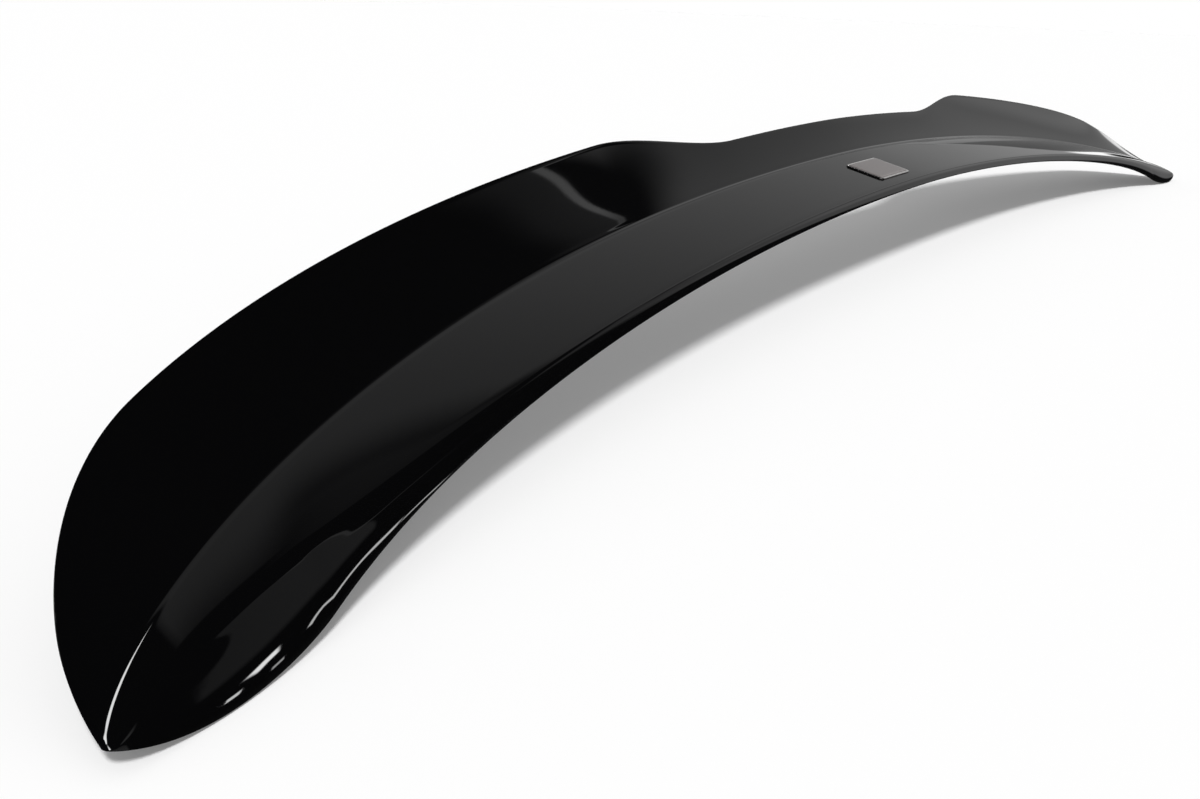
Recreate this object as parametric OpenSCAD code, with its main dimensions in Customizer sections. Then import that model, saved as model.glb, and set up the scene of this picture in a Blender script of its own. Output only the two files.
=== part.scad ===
/* [Overall] */
// Half of the overall width, from the middle to one tip
half_span = 600; // [500:5:700]
// Thickness of the formed sheet
sheet_t = 3; // [2:0.1:4]
// Thickness left at the front edge, where the sheet is drawn over the roll
front_t = 2; // [1.2:0.1:2.4]

/* [Crease between blade and strip] */
// How far the crease lies behind the tips at mid-span
crease_set_back = 107; // [70:1:140]
// How far the crease rises above the tips at mid-span
crease_rise = 69; // [45:1:90]
// How squarely the crease turns toward the tips in plan
crease_plan_fullness = 2.8; // [2.2:0.1:3.6]
// How squarely the crease drops toward the tips from the front
crease_rise_fullness = 1.73; // [1.6:0.01:2.4]
// Length of the blend on each side of the crease
crease_blend = 2; // [1:0.1:3]

/* [Blade] */
// Width of the upright blade, from the crease to its free edge
blade_w = 49.8; // [38:0.2:62]
// Lean of the blade above the horizontal at mid-span
blade_angle = 42; // [32:1:56]
// Lean of the blade above the horizontal at the tips
blade_tip_angle = 17; // [10:1:26]
// How far the blade dishes between the crease and its free edge
blade_dish = 1.8; // [0.8:0.1:2.6]
// Length of the blade's rounded end, along the span
blade_end_len = 54; // [40:1:75]
// How far the rounded rim of the free edge stands out
rim_crown = 0.6; // [0.2:0.1:1.2]

/* [Recess in the blade's free edge] */
// How far the middle of the blade is cut down
recess_depth = 20.4; // [8:0.2:26]
// Half of the length that is cut down fully
recess_half = 139; // [100:1:170]
// Length over which the edge climbs back to the full blade
recess_ramp = 125; // [90:1:160]

/* [Strip in front of the crease] */
// Width of the strip at mid-span, measured level
strip_w = 53.6; // [45:0.2:64]
// Width that the strip would have at the tips, measured level
strip_tip_w = 32.4; // [26:0.2:40]
// Drop from the crease to the front edge at mid-span
strip_drop = 17.5; // [15:0.5:22]
// Drop that the front edge would have at the tips
strip_tip_drop = 51; // [40:1:60]
// Fall of the strip at the crease, as a slope
strip_slope = 0.2; // [0.15:0.01:0.24]
// Steepness of the rolled front edge where the sheet ends
front_angle = 69; // [62:1:74]
// Run of the roll before its corner, as a multiple of the height that it falls
roll_lead = 0.8; // [0.6:0.05:1.1]
// Length of the strip's rounded end, along the span
strip_end_len = 66; // [45:1:85]

/* [Badge plate] */
// Width of the badge along the span
badge_w = 44; // [30:1:60]
// Depth of the badge across the strip
badge_d = 27.5; // [20:0.5:32]
// Thickness of the badge at its rim
badge_rim_t = 1.2; // [0.8:0.1:2.5]
// Height of the badge's dome above its rim
badge_dome = 0.9; // [0.4:0.1:2]
// Radius of the badge's corners
badge_corner_r = 2.5; // [1:0.1:6]
// Width of the badge's bevelled rim
badge_bevel = 1.4; // [0.8:0.1:2.5]
// Where the badge's centre lies along the span
badge_x = -33; // [-90:1:90]
// How far behind the strip's front edge the badge's centre lies
badge_set_back = 22.4; // [19:0.2:28]
// Thickness of the adhesive film under the badge
badge_gap = 0.2; // [0.1:0.05:0.5]

/* [Hidden] */

// Powers that shape the guide curves between mid-span and the tips
plan_rounding = 0.72;
rise_rounding = 0.613;
blade_turn_power = 12;
strip_taper_power = 3.3;
strip_drop_power = 14;
blade_end_power = 2.2;
strip_end_power = 2;
strip_lift_power = 1.5;
thinning_power = 4;
// The front edge takes at most this share of the roll's height, so the roll can close
roll_thinning = 0.4;
// The rest of the wall takes at most this share of it, so the tips can close
tip_thinning = 0.9;
// The strip's slope takes at most this share of its drop, and the roll at most this share of its width
slope_share = 0.6;
roll_share = 0.85;
// The crease's blend takes at most this share of the blade's and of the strip's width
blend_share = 0.2;
// Share of the badge's dome that its bevel climbs, and the least radius of the bevel's inner corners
bevel_climb = 0.5;
least_corner_r = 0.2;

// Mesh density: ring steps along the span, and points across each part of a ring
span_steps = 118;
blade_steps = 6;
blend_steps = 4;
flat_steps = 3;
roll_steps = 11;
edge_steps = 3;
badge_corner_steps = 6;
badge_side_steps = 5;
badge_dome_steps = 4;
badge_under_steps = 3;

gloss_black = [0.03, 0.03, 0.035];
badge_silver = [0.70, 0.66, 0.65];

// 0 at mid-span, 1 at either tip
function share(x) = min(1, abs(x) / half_span);

// Smooth climb from 0 to 1
function climb(t) = let (s = max(0, min(1, t))) s * s * (3 - 2 * s);

// Scale of a section: 1 over most of the span, falling to 0 round the end
function end_scale(x, end_len, power, rounding) =
    let (t = max(0, min(1, (abs(x) - half_span + end_len) / end_len)))
    pow(max(0, 1 - pow(t, power)), rounding);

// Guide curves, with the crease's ends at y = 0 and z = 0
function crease_y(x) = crease_set_back * pow(1 - pow(share(x), crease_plan_fullness), plan_rounding);
function crease_z(x) = crease_rise * pow(1 - pow(share(x), crease_rise_fullness), rise_rounding);
function crease_at(x) = [crease_y(x), crease_z(x)];

function blade_lean(x) =
    blade_angle + (blade_tip_angle - blade_angle) * pow(share(x), blade_turn_power);
function blade_width(x) =
    (blade_w - recess_depth * (1 - climb((abs(x) - recess_half) / recess_ramp)))
    * end_scale(x, blade_end_len, blade_end_power, 1 / blade_end_power);

function strip_width(x) =
    (strip_w + (strip_tip_w - strip_w) * pow(share(x), strip_taper_power))
    * end_scale(x, strip_end_len, strip_end_power, 1 / strip_end_power);
function strip_fall(x) =
    (strip_drop + (strip_tip_drop - strip_drop) * pow(share(x), strip_drop_power))
    * end_scale(x, strip_end_len, strip_lift_power, 1);

// Parts of the drop: what the strip's slope takes, and what is left for the rolled edge
function sloped_fall(x) = min(strip_slope * strip_width(x), slope_share * strip_fall(x));
function rolled_fall(x) = strip_fall(x) - sloped_fall(x);

// Thickness of the wall at a place across the strip, drawn thin over the roll and at the tips
function wall(x, across) =
    let (
        body = min(sheet_t, tip_thinning * rolled_fall(x)),
        edge = min(front_t, roll_thinning * rolled_fall(x))
    )
    body + (edge - body) * pow(across, thinning_power);

// A point of the blade's face at a distance from the crease. q * (1 - q) peaks at 1 / 4
function blade_point(x, distance) =
    let (
        lean = blade_lean(x),
        width = blade_width(x),
        q = distance / width,
        dish = blade_dish * width / blade_w * 4 * q * (1 - q)
    )
    crease_at(x) + distance * [cos(lean), sin(lean)] + dish * [sin(lean), -cos(lean)];

// Level runs of the roll before and after the corner that it rounds
function roll_after(x) =
    rolled_fall(x) / (tan(front_angle) - sloped_fall(x) / strip_width(x));
function roll_before(x) =
    min(roll_lead * rolled_fall(x), roll_share * strip_width(x) - roll_after(x));

// How far round the roll a place is: 0 on the flat of the strip, 1 at the front edge
function roll_turn(x, across) =
    let (
        before = roll_before(x),
        after = roll_after(x),
        run = max(0, (across - 1) * strip_width(x) + before + after)
    )
    run / (before + sqrt(before * before + (after - before) * run));

// The place across the strip at a share of the way round the roll
function roll_place(x, turn) =
    let (before = roll_before(x), after = roll_after(x))
    1 - (before + after - 2 * turn * before - turn * turn * (after - before)) / strip_width(x);

// A point of the strip's face: across runs from 0 at the crease to 1 at the front edge
function strip_point(x, across) =
    crease_at(x) - [
        across * strip_width(x),
        across * sloped_fall(x) + pow(roll_turn(x, across), 2) * rolled_fall(x)
    ];

// Rounded blend over the crease, tangent to the blade and to the strip
function crease_reach(x) = min(crease_blend, blend_share * blade_width(x), blend_share * strip_width(x));
function blend_point(x, t) =
    let (
        start = blade_point(x, crease_reach(x)),
        end = strip_point(x, crease_reach(x) / strip_width(x))
    )
    (1 - t) * (1 - t) * start + 2 * t * (1 - t) * crease_at(x) + t * t * end;

// Places across the strip: along its flat, then round the roll
function strip_places(x) =
    let (
        start = crease_reach(x) / strip_width(x),
        end = roll_place(x, 0)
    )
    concat(
        [for (i = [1 : flat_steps]) start + (end - start) * i / flat_steps],
        [for (i = [1 : roll_steps]) roll_place(x, i / roll_steps)]
    );

// How far the rounded rim stands out past the end of the blade's face
function rim_reach(x) = rim_crown * wall(x, 0) / sheet_t;

// Show face of one section, from the blade's free edge over the crease to the front edge
function face_path(x) =
    let (reach = crease_reach(x), width = blade_width(x) - rim_reach(x))
    concat(
        [for (i = [0 : blade_steps - 1]) blade_point(x, width + (reach - width) * i / blade_steps)],
        [for (i = [0 : blend_steps]) blend_point(x, i / blend_steps)],
        [for (across = strip_places(x)) strip_point(x, across)]
    );

// Thickness at each point of that face
function wall_path(x) =
    concat(
        [for (i = [0 : blade_steps + blend_steps]) wall(x, 0)],
        [for (across = strip_places(x)) wall(x, across)]
    );

function unit(v) = v / norm(v);

// Direction into the sheet at each point of a path
function inward(path, i) =
    let (
        ahead = path[min(i + 1, len(path) - 1)],
        behind = path[max(i - 1, 0)],
        run = unit(ahead - behind)
    )
    [-run[1], run[0]];

// Closed section: show face, hidden face offset by the wall, and the rounded free edge
function section_ring(x) =
    let (
        face = face_path(x),
        walls = wall_path(x),
        last = len(face) - 1,
        hidden = [for (i = [last : -1 : 0]) face[i] + walls[i] * inward(face, i)],
        into = inward(face, 0),
        run = [into[1], -into[0]],
        half_wall = walls[0] / 2
    )
    concat(
        face,
        hidden,
        [for (i = [1 : edge_steps])
            let (turn = 90 - 180 * i / (edge_steps + 1))
            face[0] + half_wall * (1 + sin(turn)) * into - rim_reach(x) * cos(turn) * run]
    );

// Places of the rings, close together at the tips
stations = [for (i = [1 : span_steps - 1]) -half_span * cos(180 * i / span_steps)];
rings = [for (x = stations) section_ring(x)];
ring_count = len(rings);
ring_size = len(rings[0]);

// The lowest point stands on z = 0, and the depth is centred on y = 0
lift = -min([for (ring = rings) min([for (p = ring) p[1]])]);
back = max([for (ring = rings) max([for (p = ring) p[0]])]);
front = min(0, min([for (ring = rings) min([for (p = ring) p[0]])]));
shift = [0, -(back + front) / 2, lift];

module spoiler_shell() {
    points = concat(
        [for (k = [0 : ring_count - 1]) for (p = rings[k]) [stations[k], p[0], p[1]]],
        [[-half_span, 0, 0], [half_span, 0, 0]]
    );
    left_tip = ring_count * ring_size;
    right_tip = left_tip + 1;
    last_ring = (ring_count - 1) * ring_size;
    sides = [
        for (k = [0 : ring_count - 2]) for (i = [0 : ring_size - 1])
            let (
                a = k * ring_size + i,
                b = k * ring_size + (i + 1) % ring_size,
                c = a + ring_size,
                d = b + ring_size
            )
            each [[a, d, b], [a, c, d]]
    ];
    left_end = [for (i = [0 : ring_size - 1]) [left_tip, i, (i + 1) % ring_size]];
    right_end = [for (i = [0 : ring_size - 1])
        [right_tip, last_ring + (i + 1) % ring_size, last_ring + i]];
    color(gloss_black)
        translate(shift)
            polyhedron(points = points, faces = concat(sides, left_end, right_end), convexity = 8);
}

// Outline of the badge: a rectangle with round corners, shrunk by an inset
function badge_outline(inset) =
    let (
        r = max(least_corner_r, badge_corner_r - inset),
        half_w = badge_w / 2 - inset - r,
        half_d = badge_d / 2 - inset - r,
        corners = [[half_w, half_d], [-half_w, half_d], [-half_w, -half_d], [half_w, -half_d]]
    )
    [for (q = [0 : 3])
        let (
            corner = corners[q],
            next = corners[(q + 1) % 4],
            leave = corner + r * [cos(90 * q + 90), sin(90 * q + 90)],
            arrive = next + r * [cos(90 * q + 90), sin(90 * q + 90)]
        )
        each concat(
            [for (i = [0 : badge_corner_steps])
                let (turn = 90 * (q + i / badge_corner_steps))
                corner + r * [cos(turn), sin(turn)]],
            [for (i = [1 : badge_side_steps - 1])
                leave + (arrive - leave) * i / badge_side_steps]
        )];

// Height of the strip's face above the badge's foot at a place in plan
function strip_height(x, y) =
    let (across = max(0, min(1, (crease_y(x) - y) / strip_width(x))))
    strip_point(x, across)[1];

badge_y = crease_y(badge_x) - strip_width(badge_x) + badge_set_back;

// One ring of the badge, at a height above the strip
function badge_ring(inset, shrink, height) =
    [for (p = badge_outline(inset))
        let (x = badge_x + p[0] * shrink, y = badge_y + p[1] * shrink)
        [x, y, strip_height(x, y) + height]];

module badge_plate() {
    under_rings = [for (i = [1 : badge_under_steps]) badge_ring(0, i / badge_under_steps, badge_gap)];
    top_rings = [for (i = [0 : badge_dome_steps - 1])
        let (s = 1 - i / badge_dome_steps)
        badge_ring(badge_bevel, s, badge_gap + badge_rim_t + badge_dome * (1 - s * s * (1 - bevel_climb)))];
    layers = concat(under_rings, [badge_ring(0, 1, badge_gap + badge_rim_t)], top_rings);
    size = len(layers[0]);
    count = len(layers);
    middle = strip_height(badge_x, badge_y);
    points = concat(
        [for (layer = layers) each layer],
        [[badge_x, badge_y, middle + badge_gap],
         [badge_x, badge_y, middle + badge_gap + badge_rim_t + badge_dome]]
    );
    foot = count * size;
    crown = foot + 1;
    sides = [
        for (k = [0 : count - 2]) for (i = [0 : size - 1])
            let (
                a = k * size + i,
                b = k * size + (i + 1) % size,
                c = a + size,
                d = b + size
            )
            each [[a, d, b], [a, c, d]]
    ];
    bottom = [for (i = [0 : size - 1]) [foot, i, (i + 1) % size]];
    top = [for (i = [0 : size - 1]) [crown, foot - size + (i + 1) % size, foot - size + i]];
    color(badge_silver)
        translate(shift)
            polyhedron(points = points, faces = concat(sides, bottom, top), convexity = 4);
}

spoiler_shell();
badge_plate();
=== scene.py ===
"""Looks of a gloss black rear spoiler shell with a blank badge plate.

The shell is swept from the same guide curves as the solid, as one smooth closed skin, and the
badge is a bezel with a domed insert. Lengths of the form and the pieces are in millimetres and
become metres where a mesh is placed. Lengths of the set are in metres.
"""

import logging
import math
from dataclasses import dataclass, field
from enum import Enum
from typing import List, Optional, Sequence, Tuple

import bmesh
import bpy
from mathutils import Matrix, Vector

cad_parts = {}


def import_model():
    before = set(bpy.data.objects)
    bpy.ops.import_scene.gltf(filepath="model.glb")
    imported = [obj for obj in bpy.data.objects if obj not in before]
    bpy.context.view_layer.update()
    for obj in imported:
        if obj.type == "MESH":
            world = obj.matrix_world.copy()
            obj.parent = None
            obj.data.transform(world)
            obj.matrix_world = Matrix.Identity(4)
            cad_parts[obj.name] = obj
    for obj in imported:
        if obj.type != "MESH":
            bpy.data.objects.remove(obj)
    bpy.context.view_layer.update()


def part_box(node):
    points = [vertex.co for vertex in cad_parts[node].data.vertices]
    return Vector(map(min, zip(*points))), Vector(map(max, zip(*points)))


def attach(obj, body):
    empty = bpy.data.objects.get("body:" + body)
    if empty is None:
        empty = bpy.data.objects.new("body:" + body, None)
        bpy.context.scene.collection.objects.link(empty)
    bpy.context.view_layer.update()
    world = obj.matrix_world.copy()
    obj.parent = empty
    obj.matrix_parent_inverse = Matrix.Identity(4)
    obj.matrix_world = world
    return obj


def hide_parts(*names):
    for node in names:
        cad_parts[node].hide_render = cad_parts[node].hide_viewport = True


MM = 0.001
ALMOST_ONE = 0.999999
WHITE = (1.0, 1.0, 1.0, 1.0)
BLACK = (0.0, 0.0, 0.0, 1.0)
LOG = logging.getLogger("spoiler")

Pair = Tuple[float, float]
Colour = Tuple[float, float, float]


# Form


@dataclass
class SpoilerForm:
    """Sizes and guide curves of the shell, with the crease's ends at y = 0 and z = 0."""

    half_span: float = 600.0
    sheet_t: float = 3.0
    front_t: float = 2.0
    crease_set_back: float = 107.0
    crease_rise: float = 69.0
    crease_plan_fullness: float = 2.8
    crease_rise_fullness: float = 1.73
    crease_blend: float = 1.2
    plan_rounding: float = 0.72
    rise_rounding: float = 0.613
    blade_w: float = 49.8
    blade_angle: float = 42.0
    blade_tip_angle: float = 17.0
    blade_turn_power: float = 12.0
    blade_dish: float = 1.8
    blade_end_len: float = 54.0
    blade_end_power: float = 2.2
    rim_crown: float = 0.6
    recess_depth: float = 20.4
    recess_half: float = 139.0
    recess_ramp: float = 125.0
    strip_w: float = 53.6
    strip_tip_w: float = 32.4
    strip_taper_power: float = 3.3
    strip_drop: float = 17.5
    strip_tip_drop: float = 51.0
    strip_drop_power: float = 14.0
    strip_slope: float = 0.2
    slope_share: float = 0.75
    front_angle: float = 69.0
    roll_lead: float = 0.25
    tip_roll_lead: float = 0.8
    roll_share: float = 0.85
    edge_out: float = 2.5
    edge_lift: float = 1.7
    edge_power: float = 6.0
    strip_end_len: float = 66.0
    strip_end_power: float = 2.0
    strip_lift_power: float = 1.5
    thinning_power: float = 4.0
    roll_thinning: float = 0.4
    tip_thinning: float = 0.9
    groove_depth: float = 0.075
    groove_reach: float = 2.2
    reach_share: float = 0.2

    def share(self, x: float) -> float:
        """Return 0 at mid-span and 1 at either tip."""
        return min(1.0, abs(x) / self.half_span)

    def end_scale(self, x: float, end_len: float, power: float, rounding: float) -> float:
        """Return the scale of a section, which falls from 1 to 0 over the rounded end's length."""
        t = min(1.0, max(0.0, (abs(x) - self.half_span + end_len) / end_len))
        return max(0.0, 1.0 - t ** power) ** rounding

    def crease(self, x: float) -> Pair:
        """Return the crease's (y, z) at a place along the span."""
        u = self.share(x)
        return (self.crease_set_back * (1.0 - u ** self.crease_plan_fullness) ** self.plan_rounding,
                self.crease_rise * (1.0 - u ** self.crease_rise_fullness) ** self.rise_rounding)

    def blade_lean(self, x: float) -> float:
        """Return the blade's lean above the horizontal, in radians."""
        turn = self.share(x) ** self.blade_turn_power
        return math.radians(self.blade_angle + (self.blade_tip_angle - self.blade_angle) * turn)

    def blade_width(self, x: float) -> float:
        """Work out the blade's width, with its recess and rounded ends.

        Args:
            x: Place along the span.

        Returns:
            The width from the crease to the free edge.
        """
        t = min(1.0, max(0.0, (abs(x) - self.recess_half) / self.recess_ramp))
        cut = self.recess_depth * (1.0 - t * t * (3.0 - 2.0 * t))
        return (self.blade_w - cut) * self.end_scale(x, self.blade_end_len, self.blade_end_power,
                                                     1.0 / self.blade_end_power)

    def edge_share(self, x: float) -> float:
        """Return how crisp the front edge is, from 1 at mid-span to 0 at either tip."""
        return 1.0 - self.share(x) ** self.edge_power

    def strip_width(self, x: float) -> float:
        """Work out the level width of the strip in front of the crease.

        Args:
            x: Place along the span.

        Returns:
            The width, with the crisp edge's share and the rounded ends.
        """
        full = self.strip_w + (self.strip_tip_w - self.strip_w) * self.share(x) ** self.strip_taper_power
        full += self.edge_out * self.edge_share(x)
        return full * self.end_scale(x, self.strip_end_len, self.strip_end_power,
                                     1.0 / self.strip_end_power)

    def strip_fall(self, x: float) -> float:
        """Work out the drop from the crease to the front edge.

        Args:
            x: Place along the span.

        Returns:
            The drop, less the crisp edge's lift.
        """
        turn = self.share(x) ** self.strip_drop_power
        full = self.strip_drop + (self.strip_tip_drop - self.strip_drop) * turn
        full -= self.edge_lift * self.edge_share(x)
        return full * self.end_scale(x, self.strip_end_len, self.strip_lift_power, 1.0)

    def sloped_fall(self, x: float) -> float:
        """Return the part of the drop that the strip's slope takes."""
        return min(self.strip_slope * self.strip_width(x), self.slope_share * self.strip_fall(x))

    def rolled_fall(self, x: float) -> float:
        """Return the part of the drop that is left for the rolled edge."""
        return self.strip_fall(x) - self.sloped_fall(x)

    def wall(self, x: float, across: float) -> float:
        """Work out the sheet's thickness, drawn thin over the roll and at the tips.

        Args:
            x: Place along the span.
            across: Place across the strip, from 0 at the crease to 1 at the front edge.

        Returns:
            The thickness.
        """
        body = min(self.sheet_t, self.tip_thinning * self.rolled_fall(x))
        edge = min(self.front_t, self.roll_thinning * self.rolled_fall(x))
        return body + (edge - body) * across ** self.thinning_power

    def roll_runs(self, x: float) -> Pair:
        """Work out the level runs of the roll beside the corner that it rounds.

        Args:
            x: Place along the span.

        Returns:
            The run before the corner and the run after it.
        """
        width = self.strip_width(x)
        steepness = math.tan(math.radians(self.front_angle)) - self.sloped_fall(x) / width
        after = self.rolled_fall(x) / steepness
        lead = self.tip_roll_lead + (self.roll_lead - self.tip_roll_lead) * self.edge_share(x)
        return (min(lead * self.rolled_fall(x), self.roll_share * width - after), after)

    def roll_turn(self, x: float, across: float) -> float:
        """Work out how far round the roll a place is.

        Args:
            x: Place along the span.
            across: Place across the strip.

        Returns:
            A share from 0 on the flat to 1 at the front edge.
        """
        before, after = self.roll_runs(x)
        run = max(0.0, (across - 1.0) * self.strip_width(x) + before + after)
        return run / (before + math.sqrt(before * before + (after - before) * run))

    def roll_place(self, x: float, turn: float) -> float:
        """Find the place across the strip at a share of the way round the roll.

        Args:
            x: Place along the span.
            turn: Share of the way round.

        Returns:
            The place across the strip.
        """
        before, after = self.roll_runs(x)
        left = before + after - 2.0 * turn * before - turn * turn * (after - before)
        return 1.0 - left / self.strip_width(x)

    def groove(self, x: float, distance: float) -> float:
        """Work out how deep the pressed line along the crease is.

        Args:
            x: Place along the span.
            distance: Distance from the crease.

        Returns:
            The depth there.
        """
        reach = self.reach(x)
        run = self.groove_reach * reach / self.crease_blend
        t = min(1.0, max(0.0, (distance - reach) / run))
        return self.groove_depth * reach / self.crease_blend * 0.5 * (1.0 + math.cos(math.pi * t))

    def strip_point(self, x: float, across: float) -> Pair:
        """Find a point of the strip's face.

        Args:
            x: Place along the span.
            across: Place across the strip, from 0 at the crease to 1 at the front edge.

        Returns:
            The point's y and z.
        """
        y, z = self.crease(x)
        roll = self.roll_turn(x, across) ** 2
        run = across * self.strip_width(x)
        fall = z - across * self.sloped_fall(x) - roll * self.rolled_fall(x)
        return (y - run, fall - self.groove(x, run))

    def blade_point(self, x: float, distance: float) -> Pair:
        """Find a point of the blade's face.

        Args:
            x: Place along the span.
            distance: Distance from the crease.

        Returns:
            The point's y and z.
        """
        lean, width = self.blade_lean(x), self.blade_width(x)
        q = distance / width
        dish = self.blade_dish * width / self.blade_w * 4.0 * q * (1.0 - q)
        y, z = self.crease(x)
        return (y + distance * math.cos(lean) + dish * math.sin(lean),
                z + distance * math.sin(lean) - dish * math.cos(lean) - self.groove(x, distance))

    def reach(self, x: float) -> float:
        """Return how far the blend runs out on each side of the crease."""
        return min(self.crease_blend, self.reach_share * self.blade_width(x),
                   self.reach_share * self.strip_width(x))

    def blend_point(self, x: float, t: float) -> Pair:
        """Find a point of the rounded blend.

        Args:
            x: Place along the span.
            t: Share of the way from the blade to the strip.

        Returns:
            The point's y and z.
        """
        start = self.blade_point(x, self.reach(x))
        end = self.strip_point(x, self.reach(x) / self.strip_width(x))
        y, z = self.crease(x)
        z -= self.groove(x, 0.0)
        a, b, c = (1.0 - t) ** 2, 2.0 * t * (1.0 - t), t * t
        return (a * start[0] + b * y + c * end[0], a * start[1] + b * z + c * end[1])

    def rim_reach(self, x: float) -> float:
        """Return how far the rounded rim stands out past the blade's face."""
        return self.rim_crown * self.wall(x, 0.0) / self.sheet_t

    def strip_height(self, x: float, y: float) -> float:
        """Return the height of the strip's face at a place in plan."""
        across = (self.crease(x)[0] - y) / self.strip_width(x)
        return self.strip_point(x, min(1.0, max(0.0, across)))[1]


# Finishes


class Nodes:
    """Small helper that builds one material's node tree."""

    def __init__(self, name: str) -> None:
        """Start a material with a Principled shader and an output.

        Args:
            name: Name of the material.
        """
        self.material = bpy.data.materials.new(name)
        self.material.use_nodes = True
        self.tree = self.material.node_tree
        self.tree.nodes.clear()
        self.out = self.add("ShaderNodeOutputMaterial")
        self.shader = self.add("ShaderNodeBsdfPrincipled")
        self.link(self.shader.outputs["BSDF"], self.out.inputs["Surface"])

    def add(self, kind: str, **values: object) -> bpy.types.Node:
        """Add a node and set its properties.

        Args:
            kind: Node type name.
            values: Properties to set on the node.

        Returns:
            The new node.
        """
        node = self.tree.nodes.new(kind)
        for key, value in values.items():
            setattr(node, key, value)
        return node

    def link(self, source: bpy.types.NodeSocket, target: bpy.types.NodeSocket) -> None:
        """Join two sockets."""
        self.tree.links.new(source, target)

    def set(self, node: bpy.types.Node, **values: object) -> bpy.types.Node:
        """Set a node's input sockets.

        Args:
            node: The node.
            values: A value for each socket, with spaces in its name written as underscores.

        Returns:
            The same node.
        """
        for key, value in values.items():
            node.inputs[key.replace("_", " ")].default_value = value
        return node

    def noise(self, scale: float, detail: float, roughness: float = 0.5) -> bpy.types.NodeSocket:
        """Add a noise texture on Object coordinates.

        Args:
            scale: Waves to the metre.
            detail: Octaves of finer noise.
            roughness: How strong the finer noise is.

        Returns:
            The texture's value.
        """
        place = self.add("ShaderNodeTexCoord")
        noise = self.set(self.add("ShaderNodeTexNoise"), Scale=scale, Detail=detail,
                         Roughness=roughness)
        self.link(place.outputs["Object"], noise.inputs["Vector"])
        return noise.outputs["Fac"]

    def spread(self, source: bpy.types.NodeSocket, low: float, high: float,
               from_low: float = 0.3, from_high: float = 0.7) -> bpy.types.NodeSocket:
        """Map a value to a range.

        Args:
            source: Value to map.
            low: Result at from_low.
            high: Result at from_high.
            from_low: Lower end of the source.
            from_high: Upper end of the source.

        Returns:
            The mapped value's socket.
        """
        node = self.add("ShaderNodeMapRange")
        self.set(node, From_Min=from_low, From_Max=from_high, To_Min=low, To_Max=high)
        self.link(source, node.inputs["Value"])
        return node.outputs["Result"]

    def bump(self, height: bpy.types.NodeSocket, depth: float,
             after: Optional[bpy.types.NodeSocket] = None) -> bpy.types.NodeSocket:
        """Add a bump.

        Args:
            height: The height to follow.
            depth: Its depth in metres.
            after: The normal of a bump that this one lies on, if there is one.

        Returns:
            The normal.
        """
        node = self.set(self.add("ShaderNodeBump"), Strength=1.0, Distance=depth)
        self.link(height, node.inputs["Height"])
        if after is not None:
            self.link(after, node.inputs["Normal"])
        return node.outputs["Normal"]

    def two_tone(self, share: bpy.types.NodeSocket, colour: Colour, first: float, second: float) -> None:
        """Colour the shader between two shades of one colour.

        Args:
            share: Share of the second shade.
            colour: The colour.
            first: Factor of the first shade.
            second: Factor of the second shade.
        """
        mix = self.add("ShaderNodeMix", data_type="RGBA")
        mix.inputs["A"].default_value = (*(first * c for c in colour), 1.0)
        mix.inputs["B"].default_value = (*(second * c for c in colour), 1.0)
        self.link(share, mix.inputs["Factor"])
        self.link(mix.outputs["Result"], self.shader.inputs["Base Color"])

    def even_glow(self, level: float) -> None:
        """Make the whole material an even white glow of a brightness."""
        glow = self.set(self.add("ShaderNodeEmission"), Color=WHITE, Strength=level)
        self.link(glow.outputs["Emission"], self.out.inputs["Surface"])


@dataclass(frozen=True)
class GlossSheet:
    """Show face of the formed sheet: deep black under a clear gloss coat."""

    name: str = "gloss_black_sheet"
    colour: Colour = (0.0012, 0.0012, 0.0014)
    coat_roughness: float = 0.02
    glass_ior: float = 1.5
    wave_scale: float = 14.0
    wave_depth: float = 0.00006
    peel_scale: float = 420.0
    peel_depth: float = 0.0000006
    dust_scale: float = 30.0
    dust_detail: float = 4.0
    dust_strength: float = 0.6
    dullness: Pair = (0.3, 0.42)

    def make(self) -> bpy.types.Material:
        """Build the finish: faint forming waves, fine orange peel and a little settled dust.

        Returns:
            The material.
        """
        nodes = Nodes(self.name)
        shader = nodes.set(nodes.shader, Base_Color=(*self.colour, 1.0), Specular_IOR_Level=0.0,
                           Coat_Weight=1.0, Coat_IOR=self.glass_ior, IOR=self.glass_ior,
                           Coat_Roughness=self.coat_roughness)
        waves = nodes.noise(self.wave_scale, detail=1.0)
        peel = nodes.noise(self.peel_scale, detail=2.0)
        soft = nodes.bump(waves, self.wave_depth)
        fine = nodes.bump(peel, self.peel_depth, after=soft)
        nodes.link(fine, shader.inputs["Coat Normal"])
        nodes.link(fine, shader.inputs["Normal"])
        dust = nodes.noise(self.dust_scale, self.dust_detail, self.dust_strength)
        nodes.link(nodes.spread(dust, *self.dullness), shader.inputs["Roughness"])
        return nodes.material


@dataclass(frozen=True)
class MattSheet:
    """Hidden face of the formed sheet: fine-grained matt black."""

    name: str = "matt_black_sheet"
    colour: Colour = (0.03, 0.03, 0.032)
    paler: float = 1.5
    patch_scale: float = 45.0
    dullness: Pair = (0.48, 0.62)
    grain_scale: float = 1500.0
    grain_depth: float = 0.00005

    def make(self) -> bpy.types.Material:
        """Build the finish: a fine pebble grain with patches of different dullness.

        Returns:
            The material.
        """
        nodes = Nodes(self.name)
        shader = nodes.set(nodes.shader, IOR=1.5, Specular_IOR_Level=0.45)
        patches = nodes.noise(self.patch_scale, detail=3.0)
        nodes.two_tone(patches, self.colour, 1.0, self.paler)
        nodes.link(nodes.spread(patches, *self.dullness), shader.inputs["Roughness"])
        grain = nodes.noise(self.grain_scale, detail=2.0)
        nodes.link(nodes.bump(grain, self.grain_depth), shader.inputs["Normal"])
        return nodes.material


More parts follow.
